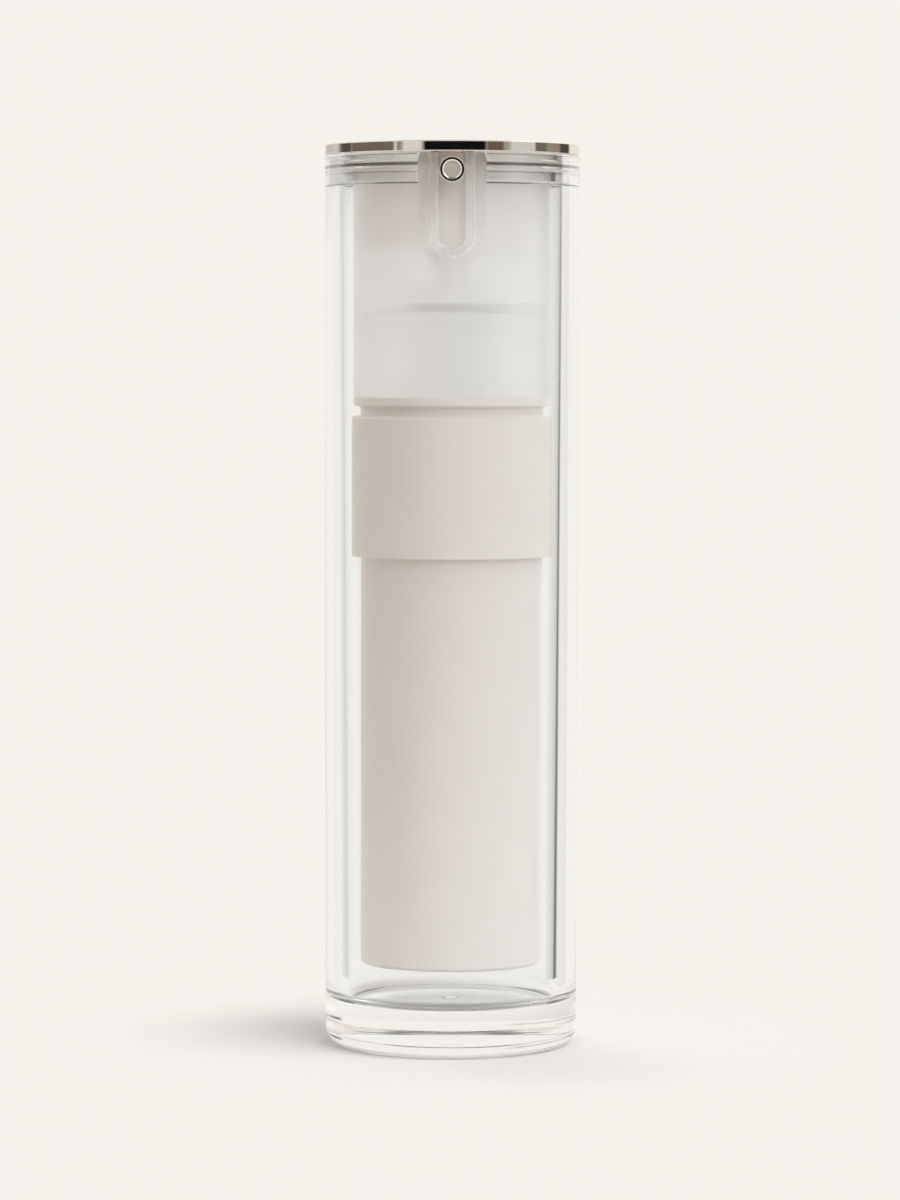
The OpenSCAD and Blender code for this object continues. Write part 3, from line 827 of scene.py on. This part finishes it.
def make_closure():
    """The white closure, with its flange, groove and snap."""
    snap_r = bottle_r + snap_h
    closure = turned("closure_white", [
        (closure_in, closure_z, 0.15), (closure_r, closure_z, 0.18), (closure_r, body_top, 0.45),
        (groove_r, body_top, 0.3), (groove_r, groove_top, 0.3), (guide_r, groove_top + 0.15, 0.35),
        (guide_r, flange_top, 0.3), (column_r + glue, flange_top), (column_r + glue, roof_z),
        (closure_in, roof_z), (closure_in, bead_z + snap_half_w + snap_foot), (snap_r, bead_z + snap_half_w),
        (snap_r, bead_z - snap_half_w), (closure_in, bead_z - snap_half_w - snap_foot)])
    dress(closure, "white_plastic", "refill", "closure")


def make_bottle():
    """The white bottle with its snap bead and the vent in its floor."""
    bead_r = bottle_r + bead_h
    bottle = turned("refill_bottle_white", [
        (vent_r, bottle_z), (bottle_r, bottle_z, 0.8), (bottle_r, bead_z - bead_half_w - bead_foot),
        (bead_r, bead_z - bead_half_w), (bead_r, bead_z + bead_half_w),
        (bottle_r, bead_z + bead_half_w + bead_foot),
        (bottle_r, bottle_top, 0.15), (bottle_in, bottle_top, 0.15),
        (bottle_in, bottle_z + bottle_floor_t, 0.8), (vent_r, bottle_z + bottle_floor_t)])
    dress(bottle, "white_plastic", "refill", "inner_bottle")


def make_button_cap():
    """The dished metal face of the button."""
    dish_r = cap_r - dish_edge
    ball = (dish_r ** 2 + dish_h ** 2) / (2 * dish_h)
    reach = math.degrees(math.asin(dish_r / ball))
    dish = arc((0, cap_top - dish_h + ball), ball, -90 + reach, -90, 24)
    cap = turned("button_cap_polished", [(0, cap_z), (cap_r, cap_z, 0.1), (cap_r, cap_top, 0.2)] + dish)
    dress(cap, "polished_metal", "button", "button_cap")


def make_nozzle():
    """The ring round the nozzle and the soft slit valve inside it, both turned round -Y."""
    to_front = Matrix.Translation((0, 0, nozzle_z * MM)) @ Matrix.Rotation(math.radians(90), 4, "X")
    bore = tip_r + glue
    lip_back = tip_front + glue
    ring = turned("nozzle_ring_polished", [
        (bore, ring_back), (nozzle_r, ring_back), (nozzle_r, nozzle_front, 0.09),
        (lip_r + lip_bevel, nozzle_front, 0.04), (lip_r, lip_back + glue, 0.03), (lip_r, lip_back),
        (bore, lip_back)], sides=SMALL_SIDES)
    ring.data.transform(to_front)
    dress(ring, "polished_metal", "button", "nozzle_ring")
    tip = turned("nozzle_valve", [
        (0, tip_back), (tip_r, tip_back), (tip_r, tip_front - tip_crown, 0.1), (0, tip_front)],
        sides=SMALL_SIDES, shade=False)
    tip.data.transform(to_front)
    slit_low = nozzle_z - slit_half_h
    slit_high = nozzle_z + slit_half_h
    slit = prism("slit", [(-slit_half_w, slit_low), (slit_half_w, slit_low), (slit_half_w, slit_high),
                          (-slit_half_w, slit_high)], tip_back - past, tip_front + past)
    combine(tip, slit, "DIFFERENCE")
    tip.data.shade_smooth()
    tip.data.set_sharp_from_angle(angle=math.radians(35))
    dress(tip, "valve_rubber", "button", "nozzle_tip")


def make_spring():
    """The return spring: round wire with closed, flattened ends."""
    around = 12
    steps = spring_turns * 48
    mid_r = spring_r - wire / 2
    start = spring_low + wire / 2
    end = spring_high - wire / 2
    open_pitch = (end - start - 2 * closed_pitch) / (spring_turns - 2)
    mesh = bmesh.new()
    rings = []
    for i in range(steps + 1):
        t = spring_turns * i / steps
        if t < 1:
            z = start + closed_pitch * t
        elif t > spring_turns - 1:
            z = end - closed_pitch * (spring_turns - t)
        else:
            z = start + closed_pitch + open_pitch * (t - 1)
        a = math.tau * t
        ring = []
        for k in range(around):
            b = math.tau * k / around
            r = mid_r + wire / 2 * math.cos(b)
            ring.append(mesh.verts.new((r * math.cos(a) * MM, r * math.sin(a) * MM,
                                        (z + wire / 2 * math.sin(b)) * MM)))
        rings.append(ring)
    for one, two in zip(rings, rings[1:]):
        for k in range(around):
            j = (k + 1) % around
            mesh.faces.new((one[k], one[j], two[j], two[k]))
    mesh.faces.new(rings[0])
    mesh.faces.new(list(reversed(rings[-1])))
    spring = add_piece("return_spring_wire", mesh)
    spring.data.shade_smooth()
    spring.data.set_sharp_from_angle(angle=math.radians(50))
    dress(spring, "steel", "refill", "return_spring")
    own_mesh(spring)


def finish_hidden_parts():
    """Dresses the solids. Those that no piece stands for are right as they are."""
    slots = {row["node"]: row["material_slot"] for row in frame["record"]["subparts"]}
    own = {"actuator": milky_plastic()}
    for name, node in frame["nodes"].items():
        node.data.materials.clear()
        node.data.materials.append(own.get(name, materials[slots[name]]))


# Stage

BACKGROUND = (0.913, 0.888, 0.839)
TABLE_COLOUR = (0.675, 0.673, 0.67)


def masked(tree, value, centre, half, soft):
    """1 where an angle in degrees lies within half of the centre, fading to 0 over soft."""
    off = maths(tree, "ABSOLUTE", maths(tree, "SUBTRACT", value, centre))
    return remap(tree, off, half - soft / 2, half + soft / 2, 1.0, 0.0, kind="SMOOTHSTEP")


def seen_directly(tree):
    """1 for what the camera, mirrors and clear plastic see, and 0 for light on its way to dull surfaces."""
    path = add_node(tree, "ShaderNodeLightPath").outputs
    seen = maths(tree, "MAXIMUM", path["Is Camera Ray"], path["Is Glossy Ray"])
    seen = maths(tree, "MAXIMUM", seen, path["Is Transmission Ray"])
    unscattered = maths(tree, "LESS_THAN", path["Diffuse Depth"], 0.5)
    return maths(tree, "MULTIPLY", seen, unscattered)


# What stands round the bottle in the studio, as the metal and the clear plastic mirror it:
# azimuth from the camera's side towards +X, half width and softness in degrees, and its colour.
# The flat cards are seen in the metal on top, and the tall ones also through the walls below it.
BLACK = (0.004, 0.004, 0.005)
DARK = (0.075, 0.07, 0.065)
DARK_GREY = (0.09, 0.08, 0.07)
BRONZE = (0.172, 0.142, 0.12)
BROWN = (0.15, 0.11, 0.08)
OLIVE_DARK = (0.16, 0.15, 0.115)
OLIVE = (0.31, 0.27, 0.21)
DIM = (0.40, 0.35, 0.31)
GREY = (0.60, 0.585, 0.57)
PALE_GREY = (0.66, 0.645, 0.62)
CREAM = (0.76, 0.74, 0.73)
SOFT_WHITE = (0.68, 0.68, 0.69)
FLAT_CARDS = [
    (-147, 14, 8, GREY),
    (-114, 12, 6, DARK_GREY),
    (-78, 25, 5, BRONZE),
    (-47.5, 3.5, 3, OLIVE),
    (-36, 9, 6, CREAM),
    (2.5, 29, 6, BLACK),
    (40, 9, 4, BROWN),
    (51, 4, 4, DIM),
    (67, 13, 8, SOFT_WHITE),
    (88, 8, 4, OLIVE_DARK),
    (104, 10, 4, OLIVE),
]
TALL_CARDS = [
    (-129, 7, 12, PALE_GREY),
    (122, 9, 5, DARK),
]
# Heights in the studio: middle, half height and softness in degrees. The softbox's side is an azimuth.
FLAT_LEVEL = (3.2, 1.7, 0.8)
TALL_LEVEL = (-3.0, 9.0, 4.0)
SOFTBOX_LEVEL = (42.0, 17.0, 8.0)
CEILING_LEVEL = (90.0, 28.0, 8.0)
SOFTBOX_SIDE = (60.0, 75.0, 30.0)
SOFTBOX = (1.4, 1.4, 1.38)
CEILING = (0.2, 0.19, 0.18)
LEFT_LIGHT = (0.34, 0.26, 0.185)
RIGHT_LIGHT = (0.66, 0.615, 0.575)
BACK_LIGHT = (1.0, 0.99, 0.96)


def make_world():
    """Pale to the camera. Mirrors and clear plastic also see cards near the horizon, a softbox on the right
    and a dim ceiling. Dull surfaces get a plain soft light, weakest from the left, strongest from behind."""
    world = bpy.data.worlds.new("studio")
    bpy.context.scene.world = world
    world.use_nodes = True
    tree = world.node_tree
    tree.nodes.clear()
    direction = add_node(tree, "ShaderNodeTexCoord").outputs["Generated"]
    towards = add_node(tree, "ShaderNodeSeparateXYZ", {0: direction}).outputs
    turn = maths(tree, "ARCTAN2", towards["X"], maths(tree, "MULTIPLY", towards["Y"], -1.0))
    azimuth = maths(tree, "DEGREES", turn)
    height = maths(tree, "DEGREES", maths(tree, "ARCSINE", towards["Z"]))
    softbox = maths(tree, "MULTIPLY", masked(tree, azimuth, *SOFTBOX_SIDE),
                    masked(tree, height, *SOFTBOX_LEVEL))
    mirrored = blend_colour(tree, softbox, BACKGROUND, SOFTBOX)
    mirrored = blend_colour(tree, masked(tree, height, *CEILING_LEVEL), mirrored, CEILING)
    flat = masked(tree, height, *FLAT_LEVEL)
    tall = masked(tree, height, *TALL_LEVEL)
    for cards, level in ((FLAT_CARDS, flat), (TALL_CARDS, tall)):
        for centre, half, soft, colour in cards:
            card = maths(tree, "MULTIPLY", masked(tree, azimuth, centre, half, soft), level)
            mirrored = blend_colour(tree, card, mirrored, colour)
    from_camera = add_node(tree, "ShaderNodeLightPath").outputs["Is Camera Ray"]
    seen = blend_colour(tree, from_camera, mirrored, BACKGROUND)
    sides = blend_colour(tree, remap(tree, towards["X"], -1.0, 1.0), LEFT_LIGHT, RIGHT_LIGHT)
    behind = remap(tree, towards["Y"], 0.15, 0.85, kind="SMOOTHSTEP")
    ambient = blend_colour(tree, behind, sides, BACK_LIGHT)
    colour = blend_colour(tree, seen_directly(tree), ambient, seen)
    light = add_node(tree, "ShaderNodeBackground", {"Color": colour, "Strength": 1.0})
    add_node(tree, "ShaderNodeOutputWorld", {"Surface": light.outputs[0]})
    world.cycles.sampling_method = "NONE"


def make_floor():
    """A pale round table. Close to the bottle it is lit and shaded, and further out it fades to the
    background's colour wherever it is seen."""
    floor_r = 75 * MM
    mesh = bmesh.new()
    bmesh.ops.create_circle(mesh, cap_ends=True, segments=128, radius=floor_r)
    floor = add_piece("floor", mesh)
    floor.location.z = -apart * MM
    material = new_material("table")
    tree = material.node_tree
    place = add_node(tree, "ShaderNodeTexCoord").outputs["Object"]
    away = add_node(tree, "ShaderNodeVectorMath", {0: place}, operation="LENGTH").outputs["Value"]
    fade = remap(tree, away, 19 * MM, 55 * MM, kind="SMOOTHSTEP")
    amount = maths(tree, "MULTIPLY", fade, seen_directly(tree))
    lit = add_node(tree, "ShaderNodeBsdfDiffuse", {"Color": (*TABLE_COLOUR, 1)})
    glow = add_node(tree, "ShaderNodeEmission", {"Color": (*BACKGROUND, 1), "Strength": 1.0})
    mix = add_node(tree, "ShaderNodeMixShader", {"Fac": amount, 1: lit.outputs[0], 2: glow.outputs[0]})
    finish_material(material, mix.outputs[0])
    floor.data.materials.append(material)


def add_sun(name, azimuth, elevation, spread_angle, strength, colour, lit=None):
    """A soft lamp at infinity, from an azimuth measured from the camera's side towards +X. Where lit names
    pieces, its light is kept to them."""
    light = bpy.data.lights.new(name, "SUN")
    light.energy = strength
    light.angle = math.radians(spread_angle)
    light.color = colour
    lamp = bpy.data.objects.new(name, light)
    a = math.radians(azimuth)
    e = math.radians(elevation)
    back = Vector((math.sin(a) * math.cos(e), -math.cos(a) * math.cos(e), math.sin(e)))
    lamp.rotation_euler = back.to_track_quat("Z", "Y").to_euler()
    lamp.visible_glossy = False
    lamp.visible_transmission = False
    bpy.context.scene.collection.objects.link(lamp)
    if lit:
        receivers = bpy.data.collections.new(name + "_lit")
        for piece in lit:
            receivers.objects.link(bpy.data.objects[piece])
        lamp.light_linking.receiver_collection = receivers


def add_lamps():
    """A key lamp, a rim lamp that would clip the white pieces and so leaves them out, two softer lamps for
    those, and a fill for the frosted ones."""
    white = ["closure_white", "refill_bottle_white"]
    frosted = ["guide_tube_frosted", "pump_shell_frosted"]
    others = [piece.name for piece in bpy.data.objects if piece.type == "MESH" and piece.name not in white]
    add_sun("key", 47, 43, 64, 2.8, (0.965, 0.985, 1.0))
    add_sun("rim", -145, 12, 40, 2.3, (1.0, 1.0, 1.0), lit=others)
    add_sun("edge", -120, 12, 30, 0.7, (1.0, 1.0, 1.0), lit=white)
    add_sun("front", 35, 20, 30, 0.35, (1.0, 1.0, 1.0), lit=white)
    add_sun("fill", -80, 10, 50, 1.3, (1.0, 0.965, 0.92), lit=frosted)


def make_camera():
    """The photograph's viewpoint: a long lens, a little above the middle and tilted slightly down."""
    focal_px = 4539
    frame_h_px = 1200
    data = bpy.data.cameras.new("camera")
    data.sensor_fit = "VERTICAL"
    data.sensor_height = 36.0
    data.lens = focal_px / frame_h_px * data.sensor_height
    data.clip_start = 0.01
    data.clip_end = 50.0
    camera = bpy.data.objects.new("camera", data)
    camera.location = (-0.21 * MM, -642 * MM, 98.3 * MM)
    tilt = math.radians(90 - 3.153)
    roll = math.radians(0.0875)
    camera.rotation_euler = (Matrix.Rotation(tilt, 3, "X") @ Matrix.Rotation(roll, 3, "Z")).to_euler()
    bpy.context.scene.collection.objects.link(camera)
    bpy.context.scene.camera = camera


make_camera()
finish_hidden_parts()
make_case()
make_trim_ring()
make_shoulder_ring()
make_liner()
make_guide_tube()
make_pump_shell()
make_closure()
make_bottle()
make_button_cap()
make_nozzle()
make_spring()
make_world()
make_floor()
add_lamps()

scene = bpy.context.scene
scene.view_settings.view_transform = "Standard"
scene.cycles.blur_glossy = 0.0            # so that light through clear plastic isn't blurred
scene.cycles.use_light_tree = False       # so that a lamp kept to some pieces doesn't change the others
scene.cycles.max_bounces = 24
scene.cycles.transmission_bounces = 24
scene.cycles.glossy_bounces = 24
scene.cycles.diffuse_bounces = 4
scene.cycles.transparent_max_bounces = 24
